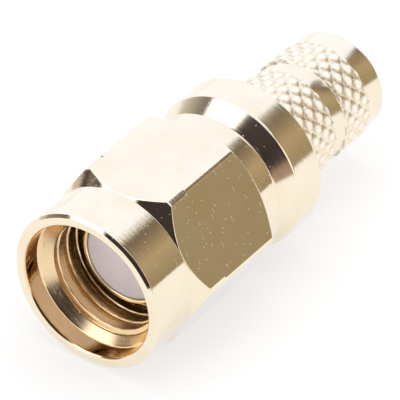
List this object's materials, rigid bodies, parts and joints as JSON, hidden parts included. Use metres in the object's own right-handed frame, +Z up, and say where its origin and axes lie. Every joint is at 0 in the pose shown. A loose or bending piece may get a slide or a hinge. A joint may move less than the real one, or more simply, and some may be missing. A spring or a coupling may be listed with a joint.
{
  "type": "coaxial crimp plug",
  "caption": "Gold-plated SMA crimp plug: hexagon coupling nut that turns on the body, PTFE bead in the outer conductor, and a diamond-knurled crimp stem for a coaxial cable.",
  "frame": {"origin": "on the plug's axis in the mating reference plane, which is the front face of the outer conductor's nose, 2.85 mm inside the nut's mouth", "axes": "+Y along the plug's axis towards the cable end, so the mating mouth looks along -Y; +Z up, square to a flat of the hexagon; the plug lies with the opposite flat and the flange on the surface at z = -4 mm"},
  "size_m": [0.0092, 0.02, 0.008],
  "materials": {
    "nut_gold": "polished gold plating on turned brass",
    "body_gold": "polished gold plating on turned brass",
    "stem_gold": "gold plating over a diamond knurl",
    "ring_bronze": "bare spring bronze",
    "ptfe": "turned white PTFE"
  },
  "bodies": {
    "plug": {"body": "body_gold", "crimp_stem": "stem_gold", "insulator": "ptfe", "retaining_ring": "ring_bronze"},
    "nut": {"coupling_nut": "nut_gold"}
  },
  "joints": [
    {"name": "nut_spin", "type": "hinge", "parent": "plug", "child": "nut", "pos_m": [0, 0, 0], "axis": [0, 1, 0], "continuous": true}
  ]
}
